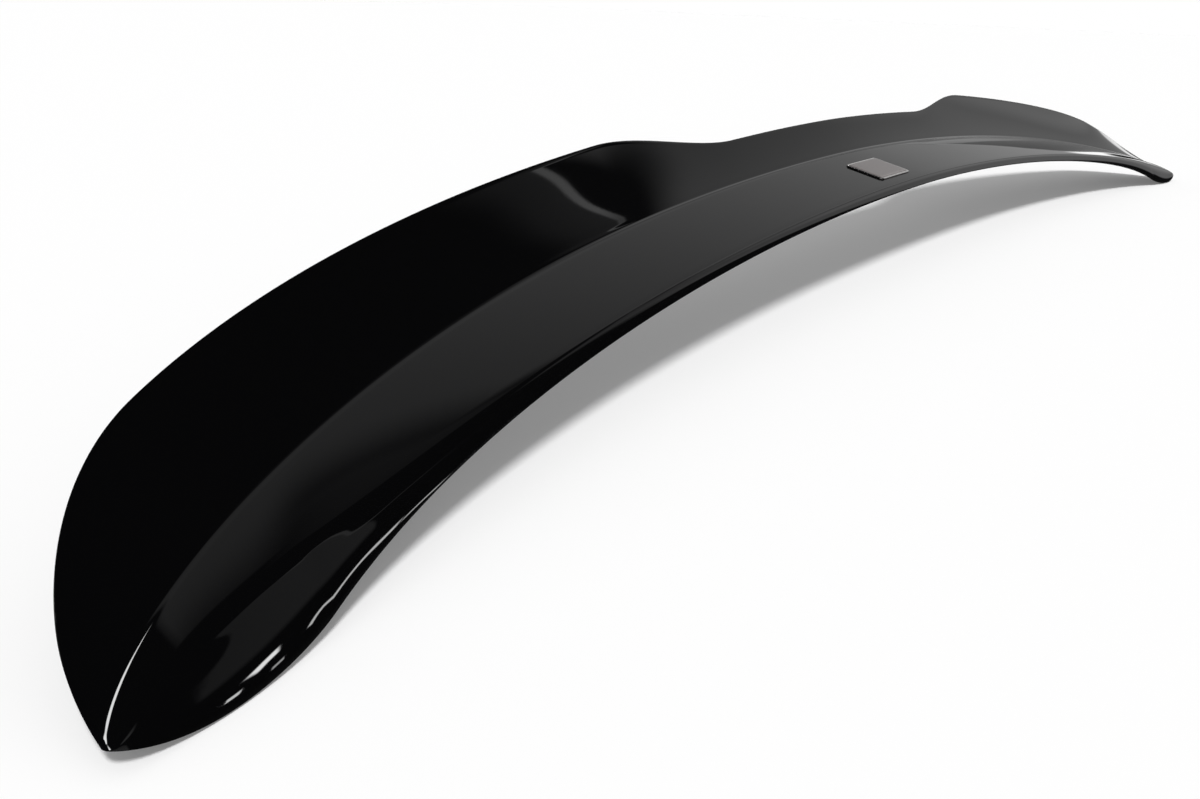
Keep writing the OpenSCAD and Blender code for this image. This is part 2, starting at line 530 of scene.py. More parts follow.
@dataclass(frozen=True)
class PolishedRim:
    """Bright metal of the badge's bezel."""

    name: str = "badge_rim_metal"
    colour: Colour = (0.80, 0.78, 0.77)
    mark_scale: float = 900.0
    dullness: Pair = (0.14, 0.24)

    def make(self) -> bpy.types.Material:
        """Build the finish: polished, with hair-fine wipe marks.

        Returns:
            The material.
        """
        nodes = Nodes(self.name)
        shader = nodes.set(nodes.shader, Base_Color=(*self.colour, 1.0), Metallic=1.0)
        marks = nodes.noise(self.mark_scale, detail=3.0)
        nodes.link(nodes.spread(marks, *self.dullness), shader.inputs["Roughness"])
        return nodes.material


@dataclass(frozen=True)
class DomedField:
    """Silver field of the badge under a clear domed coat."""

    name: str = "badge_field_silver"
    colour: Colour = (0.19, 0.165, 0.162)
    shades: Pair = (0.86, 1.12)
    flake_scale: float = 2600.0
    flake_depth: float = 0.00001
    dullness: Pair = (0.28, 0.42)

    def make(self) -> bpy.types.Material:
        """Build the finish: fine satin flake below a smooth clear coat.

        Returns:
            The material.
        """
        nodes = Nodes(self.name)
        shader = nodes.set(nodes.shader, Metallic=0.35, Coat_Weight=0.8, Coat_Roughness=0.06, IOR=1.5)
        flake = nodes.noise(self.flake_scale, detail=2.0)
        nodes.two_tone(flake, self.colour, *self.shades)
        nodes.link(nodes.spread(flake, *self.dullness), shader.inputs["Roughness"])
        nodes.link(nodes.bump(flake, self.flake_depth), shader.inputs["Normal"])
        return nodes.material


class Finish(Enum):
    """Finishes of the part."""

    GLOSS = GlossSheet()
    MATT = MattSheet()
    RIM = PolishedRim()
    FIELD = DomedField()

    def material(self) -> bpy.types.Material:
        """Return this finish's material, made once."""
        made = bpy.data.materials.get(self.value.name)
        return made or self.value.make()


class Side(Enum):
    """Which finish a face of the sheet takes, by its material index."""

    SHOW = 0
    HIDDEN = 1


# Pieces


def place_mesh(bm: bmesh.types.BMesh, name: str, *materials: bpy.types.Material) -> bpy.types.Object:
    """Turn a bmesh into an object of the scene, at the origin.

    Args:
        bm: Mesh in metres, in the part's frame. It is freed.
        name: Name of the object.
        materials: One for each material index.

    Returns:
        The new object.
    """
    mesh = bpy.data.meshes.new(name)
    bm.to_mesh(mesh)
    bm.free()
    for material in materials:
        mesh.materials.append(material)
    placed = bpy.data.objects.new(name, mesh)
    bpy.context.scene.collection.objects.link(placed)
    return placed


def corners_of(faces: Sequence[bmesh.types.BMFace]) -> List[bmesh.types.BMVert]:
    """Return the corners of some faces, each once."""
    return list({vert for face in faces for vert in face.verts})


@dataclass
class SpoilerShell:
    """The formed sheet: blade, crease, strip and rolled front edge in one skin.

    The merge gap and the least edge are in metres, as they belong to the finished mesh.
    """

    form: SpoilerForm
    span_rows: int = 420
    groove_rows: int = 6
    flat_rows: int = 12
    roll_rows: int = 26
    blend_rows: int = 8
    blade_rows: int = 20
    rim_rows: int = 8
    rim_share: float = 0.4
    rim_fullness: float = 0.8
    rim_rise: float = 0.6
    strip_foot_share: float = 0.9
    blade_foot_share: float = 0.5
    hidden_step: int = 2
    merge_gap: float = 1e-7
    least_edge: float = 1e-8
    shift: Vector = field(default_factory=Vector)

    def strip_places(self, x: float) -> List[float]:
        """List places across the strip, round the roll and then along the flat.

        Args:
            x: Place along the span.

        Returns:
            Places from the front edge to the crease's blend.
        """
        form = self.form
        start, end = form.reach(x) / form.strip_width(x), form.roll_place(x, 0.0)
        foot = min(start * (1.0 + form.groove_reach / form.crease_blend), self.strip_foot_share * end)
        places = [form.roll_place(x, 1.0 - i / self.roll_rows) for i in range(self.roll_rows)]
        places += [end + (foot - end) * i / self.flat_rows for i in range(self.flat_rows)]
        places += [foot + (start - foot) * i / self.groove_rows for i in range(self.groove_rows + 1)]
        return places

    def show_path(self, x: float) -> Tuple[List[Pair], List[float]]:
        """Return the show face of one section and the sheet's thickness along it.

        Args:
            x: Place along the span.

        Returns:
            Points from the front edge over the crease to the free edge, and a thickness for each.
        """
        form = self.form
        places = self.strip_places(x)
        points = [form.strip_point(x, a) for a in places]
        walls = [form.wall(x, a) for a in places]
        points += [form.blend_point(x, 1.0 - i / self.blend_rows)
                   for i in range(1, self.blend_rows + 1)]
        reach, width = form.reach(x), form.blade_width(x) - form.rim_reach(x)
        foot = min(reach * (1.0 + form.groove_reach / form.crease_blend), self.blade_foot_share * width)
        points += [form.blade_point(x, reach + (foot - reach) * i / self.groove_rows)
                   for i in range(1, self.groove_rows + 1)]
        points += [form.blade_point(x, foot + (width - foot) * i / self.blade_rows)
                   for i in range(1, self.blade_rows + 1)]
        walls += [form.wall(x, 0.0)] * (len(points) - len(walls))
        return points, walls

    @staticmethod
    def inward(path: Sequence[Pair], i: int) -> Pair:
        """Find the direction into the sheet.

        Args:
            path: The show face's points.
            i: Which of them.

        Returns:
            A unit direction, square to the face.
        """
        ahead, behind = path[min(i + 1, len(path) - 1)], path[max(i - 1, 0)]
        run = Vector((ahead[0] - behind[0], ahead[1] - behind[1])).normalized()
        return (run.y, -run.x)

    def rim(self, show: Pair, into: Pair, wall: float, out: float) -> List[Pair]:
        """Return the rounded end of the sheet, from its show face to its hidden face.

        Args:
            show: Last point of the show face.
            into: Direction into the sheet.
            wall: Thickness there.
            out: How far the rim stands out.

        Returns:
            The points between the two faces.
        """
        run = (-into[1], into[0])
        points = []
        for i in range(1, self.rim_rows):
            turn = math.pi * i / self.rim_rows
            level = math.copysign(abs(math.cos(turn)) ** self.rim_fullness, math.cos(turn))
            deep = 0.5 * wall * (1.0 - level)
            crown = out * math.sin(turn) ** self.rim_rise
            points.append((show[0] + deep * into[0] + crown * run[0],
                           show[1] + deep * into[1] + crown * run[1]))
        return points

    def section(self, x: float) -> Tuple[List[Pair], int, int]:
        """Work out one closed section.

        The hidden face's rows round the roll are drawn towards a straight line where the edge is crisp.

        Args:
            x: Place along the span.

        Returns:
            The ring's points, and the first and last row of its hidden face.
        """
        show, walls = self.show_path(x)
        last = len(show) - 1
        hidden_at = list(range(last, 0, -self.hidden_step)) + [0]
        hidden = []
        for i in hidden_at:
            into = self.inward(show, i)
            hidden.append(Vector((show[i][0] + walls[i] * into[0], show[i][1] + walls[i] * into[1])))
        turned = [k for k, i in enumerate(hidden_at) if i <= self.roll_rows]
        start, end = hidden[turned[0]], hidden[-1]
        for k in turned:
            straight = end.lerp(start, hidden_at[k] / hidden_at[turned[0]])
            hidden[k] = hidden[k].lerp(straight, self.form.edge_share(x))
        hidden = [tuple(point) for point in hidden]
        free_rim = self.rim(show[last], self.inward(show, last), walls[last],
                            self.rim_share * self.form.rim_reach(x))
        front_in = self.inward(show, 0)
        front_rim = self.rim(show[0], front_in, walls[0], 0.0)[::-1]
        first = last + 1 + len(free_rim)
        ring = show + free_rim + hidden + front_rim
        return ring + ring[:1], first, first + len(hidden) - 1

    def build(self) -> bpy.types.Object:
        """Sweep the section over the span, close the seam and tips, and lay it in the solid's box.

        Returns:
            The shell piece.
        """
        half = self.form.half_span
        ring, first, last = self.section(0.0)
        rings = len(ring) - 1
        bm = bmesh.new()
        bmesh.ops.create_grid(bm, x_segments=self.span_rows, y_segments=rings, size=0.5)
        stations = [-half * math.cos(math.pi * k / self.span_rows) for k in range(self.span_rows + 1)]
        sections = [[(0.0, 0.0)] * (rings + 1) if k in (0, self.span_rows) else self.section(x)[0]
                    for k, x in enumerate(stations)]
        for face in bm.faces:
            row = int((face.calc_center_median().y + 0.5) * rings)
            face.material_index = (Side.HIDDEN if first <= row < last else Side.SHOW).value
        for vert in bm.verts:
            k, row = round((vert.co.x + 0.5) * self.span_rows), round((vert.co.y + 0.5) * rings)
            y, z = sections[k][row]
            vert.co = Vector((stations[k], y, z)) * MM
        bmesh.ops.remove_doubles(bm, verts=bm.verts, dist=self.merge_gap)
        bmesh.ops.dissolve_degenerate(bm, edges=bm.edges, dist=self.least_edge)
        low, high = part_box("spoiler_shell")
        ys, zs = [v.co.y for v in bm.verts], [v.co.z for v in bm.verts]
        self.shift = Vector((0.0, 0.5 * (low[1] + high[1] - min(ys) - max(ys)), low[2] - min(zs)))
        bmesh.ops.translate(bm, verts=bm.verts, vec=self.shift)
        LOG.info("shell volume %.1f cm3, shift %s", 1e6 * bm.calc_volume(signed=True), self.shift[:])
        piece = place_mesh(bm, "gloss_shell", Finish.GLOSS.material(), Finish.MATT.material())
        piece.data.shade_smooth()
        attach(piece, "root")
        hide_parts("spoiler_shell")
        return piece


# Width and rise of each step of the bezel, from its side over its crest to its sunk floor.
BEZEL_STEPS = ((0.08, 0.22), (0.12, 0.18), (0.2, 0.15), (0.25, 0.05), (0.3, 0.0), (0.25, -0.05),
               (0.2, -0.1), (0.3, 0.0))


@dataclass
class BadgePlate:
    """Blank badge: a polished bezel round a domed silver field."""

    form: SpoilerForm
    shift: Vector
    width: float = 44.0
    depth: float = 27.5
    dome: float = 0.45
    dome_steps: int = 12
    dome_spacing: float = 1.6
    dome_inset: float = 0.001
    crown_share: float = 0.2
    end_fullness: float = 24.0
    side_fullness: float = 14.0
    side_h: float = 0.35
    field_h: float = 0.84
    skirt_h: float = 0.25
    corner_r: float = 2.5
    least_corner_r: float = 0.3
    bevel: float = 1.4
    x: float = -33.0
    set_back: float = 24.9
    gap: float = 0.2
    corner_segments: int = 8
    side_cuts: int = 9
    least_side: float = 8.0

    def centre(self) -> Pair:
        """Return the badge's centre in plan, before the shift."""
        front = self.form.crease(self.x)[0] - self.form.strip_width(self.x)
        return (self.x, front + self.set_back)

    def blank(self, inset: float) -> bmesh.types.BMesh:
        """Make a flat rounded rectangle as one face on the ground.

        Args:
            inset: How much smaller than the badge it is on each side.

        Returns:
            The mesh, in millimetres.
        """
        bm = bmesh.new()
        bmesh.ops.create_grid(bm, x_segments=1, y_segments=1, size=0.5)
        bmesh.ops.scale(bm, verts=bm.verts, vec=(self.width - 2 * inset, self.depth - 2 * inset, 1.0))
        corner = max(self.least_corner_r, self.corner_r - inset)
        bmesh.ops.bevel(bm, geom=list(bm.verts), offset=corner, affect="VERTICES",
                        segments=self.corner_segments, profile=0.5, material=-1)
        sides = [e for e in bm.edges if e.calc_length() > self.least_side]
        bmesh.ops.subdivide_edges(bm, edges=sides, cuts=self.side_cuts)
        return bm

    def lay(self, bm: bmesh.types.BMesh, name: str, finish: Finish) -> bpy.types.Object:
        """Lay a flat piece on the strip's face and make it an object.

        Args:
            bm: Piece centred on the origin, in millimetres, with z above the adhesive film.
            name: Name of the piece.
            finish: Its finish.

        Returns:
            The placed piece.
        """
        cx, cy = self.centre()
        for vert in bm.verts:
            x, y = cx + vert.co.x, cy + vert.co.y
            vert.co = Vector((x, y, self.form.strip_height(x, y) + self.gap + vert.co.z)) * MM
        bmesh.ops.translate(bm, verts=bm.verts, vec=self.shift)
        piece = place_mesh(bm, name, finish.material())
        piece.data.shade_smooth()
        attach(piece, "root")
        return piece

    def bezel(self) -> bpy.types.Object:
        """Build the frame: a plate with a rounded raised rim and a sunk floor.

        Returns:
            The bezel piece.
        """
        bm = self.blank(0.0)
        top = bm.faces[:]
        bmesh.ops.recalc_face_normals(bm, faces=top)
        bottom = bmesh.ops.duplicate(bm, geom=bm.verts[:] + bm.edges[:] + bm.faces[:])
        low_faces = [g for g in bottom["geom"] if isinstance(g, bmesh.types.BMFace)]
        low_edges = [g for g in bottom["geom"] if isinstance(g, bmesh.types.BMEdge)]
        high_edges = [e for f in top for e in f.edges]
        bmesh.ops.reverse_faces(bm, faces=low_faces)
        bmesh.ops.translate(bm, verts=corners_of(top), vec=(0.0, 0.0, self.side_h))
        bmesh.ops.bridge_loops(bm, edges=high_edges + low_edges)
        for width, rise in BEZEL_STEPS:
            bmesh.ops.inset_region(bm, faces=top, thickness=width, depth=0.0, use_even_offset=True)
            bmesh.ops.translate(bm, verts=corners_of(top), vec=(0.0, 0.0, rise))
        bmesh.ops.poke(bm, faces=top + low_faces)
        bmesh.ops.recalc_face_normals(bm, faces=bm.faces)
        return self.lay(bm, "badge_bezel", Finish.RIM)

    def field_dome(self) -> bpy.types.Object:
        """Build the domed insert, a little below the bezel's crest at its edge.

        Returns:
            The insert piece.
        """
        bm = self.blank(self.bevel)
        face = bm.faces[:]
        half_w, half_d = 0.5 * self.width - self.bevel, 0.5 * self.depth - self.bevel
        sizes = [1.0 - (i / self.dome_steps) ** self.dome_spacing for i in range(self.dome_steps)]
        for wide, narrow in zip(sizes, sizes[1:]):
            bmesh.ops.inset_region(bm, faces=face, thickness=self.dome_inset, depth=0.0,
                                    use_boundary=True)
            bmesh.ops.scale(bm, verts=corners_of(face), vec=(narrow / wide, narrow / wide, 1.0))
        bmesh.ops.poke(bm, faces=face)
        for vert in bm.verts:
            across, deep = abs(vert.co.x / half_w), abs(vert.co.y / half_d)
            crown = (1.0 - across ** 2) * (1.0 - deep ** 2)
            edge = (1.0 - across ** self.end_fullness) * (1.0 - deep ** self.side_fullness)
            swell = self.crown_share * max(0.0, crown)
            swell += (1.0 - self.crown_share) * math.sqrt(max(0.0, edge))
            vert.co.z = self.field_h + self.dome * swell
        skirt = bmesh.ops.extrude_edge_only(bm, edges=[e for e in bm.edges if e.is_boundary])
        lowered = [g for g in skirt["geom"] if isinstance(g, bmesh.types.BMVert)]
        bmesh.ops.translate(bm, verts=lowered, vec=(0.0, 0.0, -self.skirt_h))
        bmesh.ops.holes_fill(bm, edges=[e for e in bm.edges if e.is_boundary])
        bmesh.ops.recalc_face_normals(bm, faces=bm.faces)
        return self.lay(bm, "badge_field", Finish.FIELD)

    def build(self) -> List[bpy.types.Object]:
        """Build the bezel and its insert in place of the plain plate.

        Returns:
            Both pieces.
        """
        bezel, insert = self.bezel(), self.field_dome()
        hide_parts("badge_plate")
        return [bezel, insert]


# Set


@dataclass
class StudioCamera:
    """Camera at the photograph's place."""

    place: Tuple[float, float, float] = (-0.66176, -0.25903, 0.16904)
    azimuth: float = 38.68
    elevation: float = -22.93
    roll: float = 2.1
    lens: float = 28.5
    sensor: float = 36.0
    clip: Pair = (0.01, 50.0)

    def build(self) -> None:
        """Create the camera and make it the scene's."""
        data = bpy.data.cameras.new("view_camera")
        data.sensor_fit, data.sensor_width, data.lens = "HORIZONTAL", self.sensor, self.lens
        data.clip_start, data.clip_end = self.clip
        camera = bpy.data.objects.new("view_camera", data)
        turn = (Matrix.Rotation(math.radians(self.azimuth - 90.0), 4, "Z")
                @ Matrix.Rotation(math.radians(90.0 + self.elevation), 4, "X")
                @ Matrix.Rotation(math.radians(self.roll), 4, "Z"))
        camera.matrix_world = Matrix.Translation(Vector(self.place)) @ turn
        bpy.context.scene.collection.objects.link(camera)
        bpy.context.scene.camera = camera


def direction(azimuth: float, elevation: float) -> Vector:
    """Return the unit vector towards a direction in degrees, with azimuth 0 along +X."""
    turn, lift = math.radians(azimuth), math.radians(elevation)
    return Vector((math.cos(lift) * math.cos(turn), math.cos(lift) * math.sin(turn), math.sin(lift)))


@dataclass(frozen=True)
class Card:
    """Bent card with soft edges between two paths of directions seen from the part.

    A direction is an azimuth and an elevation in degrees. Each soft edge is a share of the card.
    """

    name: str
    low: Tuple[Pair, ...]
    high: Tuple[Pair, ...]
    low_glow: float
    high_glow: float
    soft_ends: Pair = (0.1, 0.1)
    soft_low: float = 0.2
    soft_high: float = 0.2
    distance: float = 100.0
    steps: int = 8
    rows: int = 4
    least_edge: float = 0.001

    @staticmethod
    def along(path: Sequence[Pair], share: float) -> Pair:
        """Find the direction at a share of the way along a smooth curve through a path.

        Args:
            path: The directions that the curve passes through.
            share: Share of the way, counted evenly from each direction to the next.

        Returns:
            The direction.
        """
        place = min(share, ALMOST_ONE) * (len(path) - 1)
        i, t = int(place), place - int(place)
        near = (path[min(max(k, 0), len(path) - 1)] for k in range(i - 1, i + 3))
        azimuth, elevation = (
            q + 0.5 * t * (r - p + t * (2 * p - 5 * q + 4 * r - s + t * (3 * (q - r) + s - p)))
            for p, q, r, s in zip(*near))
        return (azimuth, elevation)

    def build(self, middle: Vector) -> bpy.types.Object:
        """Build the card.

        Args:
            middle: The point that the directions are counted from.

        Returns:
            The card, with its place in its mesh.
        """
        bm = bmesh.new()
        bm.loops.layers.uv.new("UVMap")
        bmesh.ops.create_grid(bm, x_segments=self.steps * (len(self.low) - 1), y_segments=self.rows,
                              size=0.5, calc_uvs=True)
        for vert in bm.verts:
            share, rise = vert.co.x + 0.5, vert.co.y + 0.5
            low, high = self.along(self.low, share), self.along(self.high, share)
            azimuth, elevation = (a + rise * (b - a) for a, b in zip(low, high))
            vert.co = middle + self.distance * direction(azimuth, elevation)
        return place_mesh(bm, self.name, self.glow())

    def glow(self) -> bpy.types.Material:
        """Make the card's glow, which fades out over its soft edges.

        Returns:
            The material.
        """
        nodes = Nodes(self.name + "_glow")
        place = nodes.add("ShaderNodeTexCoord")
        split = nodes.add("ShaderNodeSeparateXYZ")
        nodes.link(place.outputs["UV"], split.inputs["Vector"])
        cover = None
        for axis, edges in (("X", self.soft_ends), ("Y", (self.soft_low, self.soft_high))):
            first, last = (max(edge, self.least_edge) for edge in edges)
            for start, end in ((0.0, first), (1.0, 1.0 - last)):
                edge = nodes.add("ShaderNodeMapRange", interpolation_type="SMOOTHSTEP")
                nodes.set(edge, From_Min=start, From_Max=end)
                nodes.link(split.outputs[axis], edge.inputs["Value"])
                if cover is None:
                    cover = edge.outputs["Result"]
                else:
                    both = nodes.add("ShaderNodeMath", operation="MULTIPLY")
                    nodes.link(cover, both.inputs[0])
                    nodes.link(edge.outputs["Result"], both.inputs[1])
                    cover = both.outputs["Value"]
        glow = nodes.add("ShaderNodeEmission")
        level = nodes.spread(split.outputs["Y"], self.low_glow, self.high_glow, from_low=0.0, from_high=1.0)
        nodes.link(level, glow.inputs["Strength"])
        clear = nodes.add("ShaderNodeBsdfTransparent")
        mix = nodes.add("ShaderNodeMixShader")
        nodes.link(cover, mix.inputs["Fac"])
        nodes.link(clear.outputs["BSDF"], mix.inputs[1])
        nodes.link(glow.outputs["Emission"], mix.inputs[2])
        nodes.link(mix.outputs["Shader"], nodes.out.inputs["Surface"])
        return nodes.material


def show_to_gloss_only(obj: bpy.types.Object) -> None:
    """Hide an object from all but mirrored rays."""
    obj.visible_camera = obj.visible_diffuse = obj.visible_shadow = False
    obj.visible_transmission = obj.visible_volume_scatter = False


def bar(name: str, path: Sequence[Pair], width: float, glow: float, ends: Pair = (0.1, 0.1),
        side: float = 0.3, distance: float = 90.0) -> Card:
    """Make a narrow card along a path of directions.

    Args:
        name: Name of the card.
        path: Directions along its middle.
        width: Its width in degrees.
        glow: Its brightness.
        ends: Shares of its length over which its ends fade.
        side: Share of its width over which each side fades.
        distance: How far away it hangs.

    Returns:
        The card.
    """
    low, high = [], []
    for i, (azimuth, elevation) in enumerate(path):
        ahead, behind = path[min(i + 1, len(path) - 1)], path[max(i - 1, 0)]
        level = math.cos(math.radians(elevation))
        run = Vector(((ahead[0] - behind[0]) * level, ahead[1] - behind[1]))
        run = run.normalized() * 0.5 * width
        low.append((azimuth + run.y / level, elevation - run.x))
        high.append((azimuth - run.y / level, elevation + run.x))
    return Card(name, tuple(low), tuple(high), glow, glow, ends, side, side, distance)


# What the gloss mirrors: the name, the lower and the upper path, the glow along each, the soft
# ends, the soft lower and upper edge, and the distance. A bar has one path, its width, its glow
# and its soft ends.
CARDS = (
    Card("grey_backdrop",
         ((-32.0, 16.0), (-22.0, 6.0), (-8.0, -0.5), (10.0, -0.5), (25.0, -0.5), (40.0, -0.5),
          (52.0, -0.5), (62.0, -0.5), (74.0, 5.0), (90.0, 22.0)),
         ((-32.0, 36.0), (-20.0, 37.0), (-6.0, 38.6), (10.0, 41.0), (25.0, 43.0), (38.0, 47.5),
          (50.0, 52.4), (58.0, 55.8), (68.0, 61.0), (90.0, 64.4)),
         0.46, 0.22, (0.05, 0.03), 0.05, 0.07, 110.0),
    Card("backdrop_sheen",
         ((-24.0, 12.0), (-8.0, 12.0), (12.0, 14.0)),
         ((-24.0, 36.2), (-8.0, 38.2), (12.0, 40.5)),
         0.38, 0.34, (0.3, 0.3), 0.3, 0.1, 105.0),
    Card("bright_corner",
         ((-26.0, 12.0), (-16.0, 8.0), (-5.0, 6.0)),
         ((-26.0, 30.0), (-16.0, 30.0), (-5.0, 24.0)),
         0.75, 0.45, (0.25, 0.3), 0.3, 0.4, 100.0),
    bar("backdrop_edge", ((-21.0, 36.0), (-15.0, 38.2), (-9.0, 40.1), (-4.0, 40.6), (3.0, 40.0)),
        0.5, 0.7, (0.1, 0.3)),
    Card("dim_ceiling",
         ((-22.0, 36.0), (-15.0, 38.2), (-9.0, 40.1), (-4.0, 40.6), (5.0, 40.0)),
         ((-22.0, 40.0), (-15.0, 42.2), (-9.0, 44.0), (-4.0, 44.6), (5.0, 44.0)),
         0.13, 0.04, (0.1, 0.2), 0.01, 0.6, 96.0),
    Card("dim_corner",
         ((8.0, 41.0), (30.0, 44.0), (50.0, 51.0), (66.0, 58.0)),
         ((8.0, 52.0), (30.0, 56.0), (50.0, 62.0), (66.0, 66.0)),
         0.08, 0.04, (0.3, 0.3), 0.1, 0.4, 115.0),
    Card("crease_sheen",
         ((6.0, 12.0), (5.0, 20.0), (6.0, 28.0), (5.0, 36.0), (8.0, 44.0), (12.0, 50.0)),
         ((11.0, 12.0), (15.5, 20.0), (20.0, 28.0), (25.5, 35.0), (31.0, 41.0), (38.0, 47.0)),
         0.7, 0.7, (0.1, 0.5), 0.2, 0.2, 104.0),
    Card("side_grey",
         ((-59.8, 14.0), (-59.3, 24.0), (-58.6, 34.0), (-56.2, 48.0), (-52.4, 60.0), (-47.6, 67.0)),
         ((-46.5, 14.0), (-47.0, 25.0), (-48.5, 35.0), (-45.5, 48.0), (-40.0, 59.0), (-43.0, 66.0)),
         0.18, 0.23, (0.1, 0.1), 0.03, 0.03, 98.0),
    bar("side_edge", ((-42.0, 61.0), (-41.0, 58.5), (-45.5, 48.0), (-48.5, 35.0), (-47.2, 27.0),
                      (-44.5, 23.5), (-42.0, 20.5), (-39.0, 18.0), (-36.0, 16.0)),
        0.7, 0.42, (0.1, 0.6)),
    bar("low_glow", ((16.0, 1.0), (10.0, 2.5), (4.0, 6.0), (-2.0, 9.5)), 4.5, 1.5, (0.2, 0.15)),
    Card("crease_lamp",
         ((92.0, 54.6), (100.0, 54.3), (108.0, 53.2), (116.0, 50.6), (123.4, 46.4), (128.0, 42.6),
          (131.4, 36.4), (132.4, 29.4)),
         ((92.5, 55.4), (100.5, 55.6), (109.0, 55.0), (118.0, 53.0), (127.2, 48.7), (132.8, 43.8),
          (137.4, 35.6), (137.0, 29.0)),
         15.0, 15.0, (0.1, 0.02), 0.3, 0.3, 90.0),
    bar("low_window", ((-49.8, 3.9), (-48.8, 5.2), (-47.4, 5.8), (-46.2, 5.6), (-45.0, 4.9), (-43.4, 4.3)),
        1.4, 9.0, (0.06, 0.1)),
    bar("thin_window", ((-43.6, 4.0), (-42.2, 3.7), (-40.8, 3.3), (-39.4, 3.0), (-38.0, 3.4), (-36.5, 4.4)),
        0.7, 7.0, (0.1, 0.1)),
    bar("corner_window", ((-57.4, 6.8), (-55.8, 7.8), (-54.0, 7.8)), 3.0, 17.0, (0.25, 0.25)),
    bar("end_window", ((-59.0, 4.1), (-57.9, 3.9)), 1.8, 12.0, (0.1, 0.25)),
    bar("faint_window", ((-55.2, 2.5), (-53.4, 2.4)), 1.2, 6.0, (0.2, 0.2)),
    Card("rear_wall",
         ((172.0, 2.0), (190.0, 0.0), (215.0, 0.0), (245.0, 0.0), (256.0, 0.0), (266.0, 3.0)),
         ((172.0, 30.0), (190.0, 42.0), (215.0, 47.0), (245.0, 45.0), (256.0, 38.0), (266.0, 28.0)),
         0.4, 0.16, (0.12, 0.12), 0.05, 0.15),
    Card("front_fill",
         ((92.0, 4.0), (104.0, 2.0), (118.0, 2.0), (128.0, 4.0)),
         ((92.0, 46.0), (104.0, 47.0), (118.0, 44.0), (128.0, 30.0)),
         0.4, 0.16, (0.15, 0.3), 0.05, 0.2),
    Card("overhead_fill",
         ((196.0, 58.0), (216.0, 58.0), (240.0, 60.0), (262.0, 62.0), (282.0, 64.0)),
         ((196.0, 76.0), (216.0, 80.0), (240.0, 84.0), (262.0, 84.0), (282.0, 80.0)),
         0.55, 0.2, (0.2, 0.3), 0.2, 0.4),
)


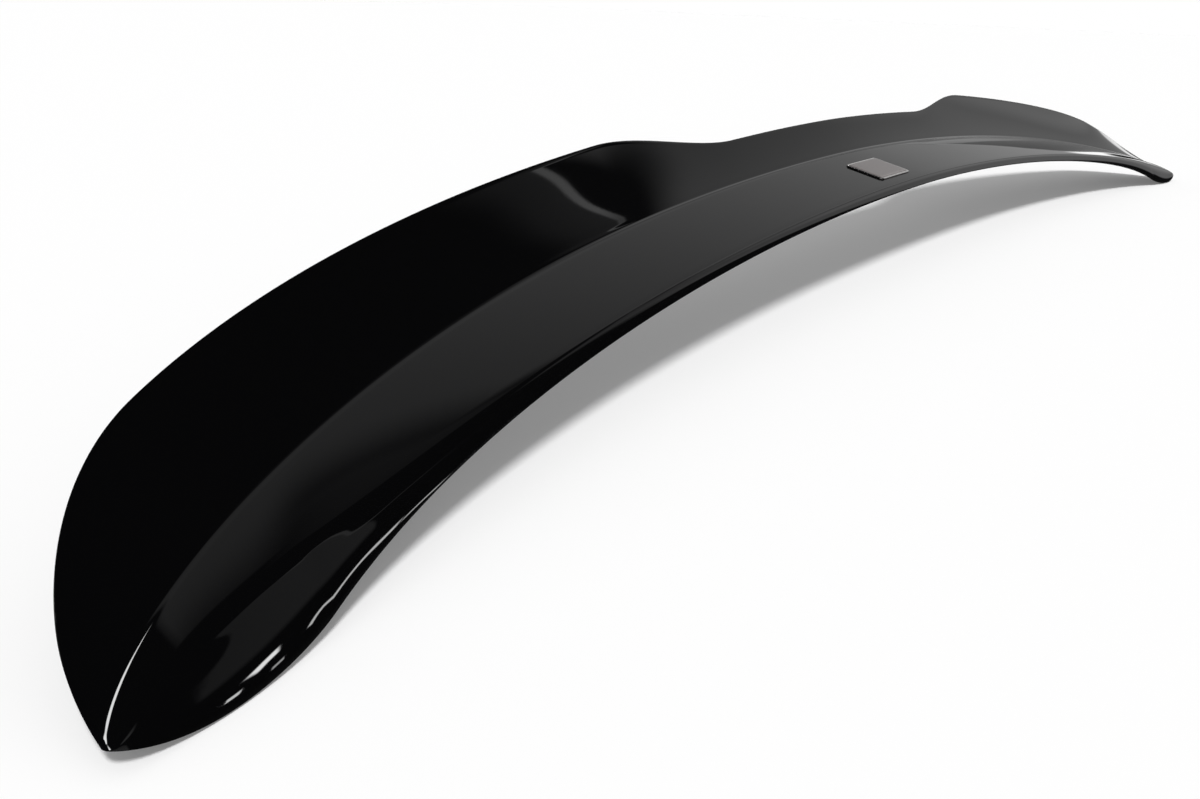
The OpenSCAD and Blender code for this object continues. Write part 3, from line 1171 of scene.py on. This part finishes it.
@dataclass
class StudioSet:
    """Pale floor, white surround, a lamp, and the cards that the gloss mirrors."""

    floor_size: float = 24.0
    floor_colour: Colour = (0.86, 0.86, 0.86)
    floor_glow: float = 0.135
    fill: float = 0.34
    sun: float = 0.66
    sun_azimuth: float = -122.0
    sun_elevation: float = 61.0
    sun_spread: float = 12.0
    canopy_glow: float = 0.016
    canopy_size: float = 200.0
    canopy_segments: int = 48
    # Brightness of the painted floor shade, a dark sheet that only the gloss sees.
    floor_shade_glow: float = 0.03
    ground_lift: float = 0.0002
    lamp_distance: float = 2.0
    middle: Tuple[float, float, float] = (0.0, 0.0, 0.05)

    def floor(self) -> None:
        """Lay the pale floor, with a faint glow that only the camera sees."""
        bm = bmesh.new()
        bmesh.ops.create_grid(bm, x_segments=1, y_segments=1, size=0.5 * self.floor_size)
        nodes = Nodes("floor_white")
        nodes.set(nodes.shader, Base_Color=(*self.floor_colour, 1.0), Roughness=0.9,
                  Specular_IOR_Level=0.0)
        path = nodes.add("ShaderNodeLightPath")
        glow = nodes.set(nodes.add("ShaderNodeEmission"), Color=WHITE, Strength=self.floor_glow)
        dark = nodes.set(nodes.add("ShaderNodeEmission"), Color=BLACK, Strength=0.0)
        pick = nodes.add("ShaderNodeMixShader")
        nodes.link(path.outputs["Is Camera Ray"], pick.inputs["Fac"])
        nodes.link(dark.outputs["Emission"], pick.inputs[1])
        nodes.link(glow.outputs["Emission"], pick.inputs[2])
        both = nodes.add("ShaderNodeAddShader")
        nodes.link(nodes.shader.outputs["BSDF"], both.inputs[0])
        nodes.link(pick.outputs["Shader"], both.inputs[1])
        nodes.link(both.outputs["Shader"], nodes.out.inputs["Surface"])
        floor = place_mesh(bm, "floor", nodes.material)

    def surround(self) -> None:
        """Make the world: white where it is seen or mirrored, and a soft fill light elsewhere."""
        world = bpy.data.worlds.new("surround")
        bpy.context.scene.world = world
        world.use_nodes = True
        tree = world.node_tree
        tree.nodes.clear()
        out = tree.nodes.new("ShaderNodeOutputWorld")
        seen, soft = (tree.nodes.new("ShaderNodeBackground") for _ in range(2))
        for node, strength in ((seen, 1.0), (soft, self.fill)):
            node.inputs["Color"].default_value = WHITE
            node.inputs["Strength"].default_value = strength
        path = tree.nodes.new("ShaderNodeLightPath")
        shown = path.outputs["Is Camera Ray"]
        for kind in ("Is Glossy Ray", "Is Transmission Ray"):
            either = tree.nodes.new("ShaderNodeMath")
            either.operation, either.use_clamp = "ADD", True
            tree.links.new(shown, either.inputs[0])
            tree.links.new(path.outputs[kind], either.inputs[1])
            shown = either.outputs[0]
        mix = tree.nodes.new("ShaderNodeMixShader")
        tree.links.new(shown, mix.inputs["Fac"])
        tree.links.new(soft.outputs["Background"], mix.inputs[1])
        tree.links.new(seen.outputs["Background"], mix.inputs[2])
        tree.links.new(mix.outputs["Shader"], out.inputs["Surface"])

    def lamp(self, name: str, azimuth: float, elevation: float, spread: float, level: float) -> None:
        """Hang a wide, far lamp that lights the whole set evenly.

        Args:
            name: Name of the lamp.
            azimuth: Its direction in plan, in degrees.
            elevation: Its height above the horizon, in degrees.
            spread: Its width as seen from the part, in degrees.
            level: How bright it makes a white floor.
        """
        data = bpy.data.lights.new(name, "SUN")
        data.angle = math.radians(spread)
        data.energy = level * math.pi / math.sin(math.radians(elevation))
        lamp = bpy.data.objects.new(name, data)
        aim = direction(azimuth, elevation)
        lamp.location = Vector(self.middle) + self.lamp_distance * aim
        lamp.rotation_euler = (-aim).to_track_quat("-Z", "Y").to_euler()
        lamp.visible_glossy = False
        bpy.context.scene.collection.objects.link(lamp)

    def card(self, card: Card) -> None:
        """Hang a card that only the gloss sees.

        Args:
            card: The card.
        """
        obj = card.build(Vector(self.middle))
        show_to_gloss_only(obj)

    def dark(self, name: str, bm: bmesh.types.BMesh, level: float) -> None:
        """Make an even dark lining that only the gloss sees.

        Args:
            name: Name of the lining.
            bm: Its mesh. It is freed.
            level: Its brightness.
        """
        nodes = Nodes(name + "_lining")
        nodes.even_glow(level)
        lining = place_mesh(bm, name, nodes.material)
        show_to_gloss_only(lining)

    def surroundings(self) -> None:
        """Hang a dark canopy round the whole set and lay a dark sheet on the floor that only the gloss
        sees, as painted shade of the floor in reflections.
        """
        bm = bmesh.new()
        bmesh.ops.create_uvsphere(bm, u_segments=self.canopy_segments,
                                  v_segments=self.canopy_segments // 2, radius=self.canopy_size)
        self.dark("dark_canopy", bm, self.canopy_glow)
        # Painted shade: a dark sheet just above the floor, seen only in reflections, so the gloss mirrors
        # the floor as shaded while the camera sees it white.
        bm = bmesh.new()
        bmesh.ops.create_grid(bm, x_segments=1, y_segments=1, size=0.5 * self.floor_size)
        bmesh.ops.translate(bm, verts=bm.verts, vec=(0.0, 0.0, self.ground_lift))
        self.dark("painted_floor_shade", bm, self.floor_shade_glow)

    def build(self) -> None:
        """Build the whole set."""
        self.floor()
        self.surround()
        self.lamp("key_lamp", self.sun_azimuth, self.sun_elevation, self.sun_spread, self.sun)
        self.surroundings()
        for card in CARDS:
            self.card(card)


# Start


def main() -> None:
    """Build the part and its set in order, and report each piece."""
    logging.basicConfig(level=logging.INFO, format="%(name)s: %(message)s")
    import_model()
    StudioCamera().build()
    StudioSet().build()
    form = SpoilerForm()
    shell = SpoilerShell(form)
    pieces = [shell.build()]
    pieces += BadgePlate(form, shell.shift).build()
    for piece in pieces:
        piece.data.calc_loop_triangles()
        LOG.info("%s: %d triangles", piece.name, len(piece.data.loop_triangles))
    bpy.context.scene.view_settings.view_transform = "Standard"


if __name__ == "__main__":
    main()
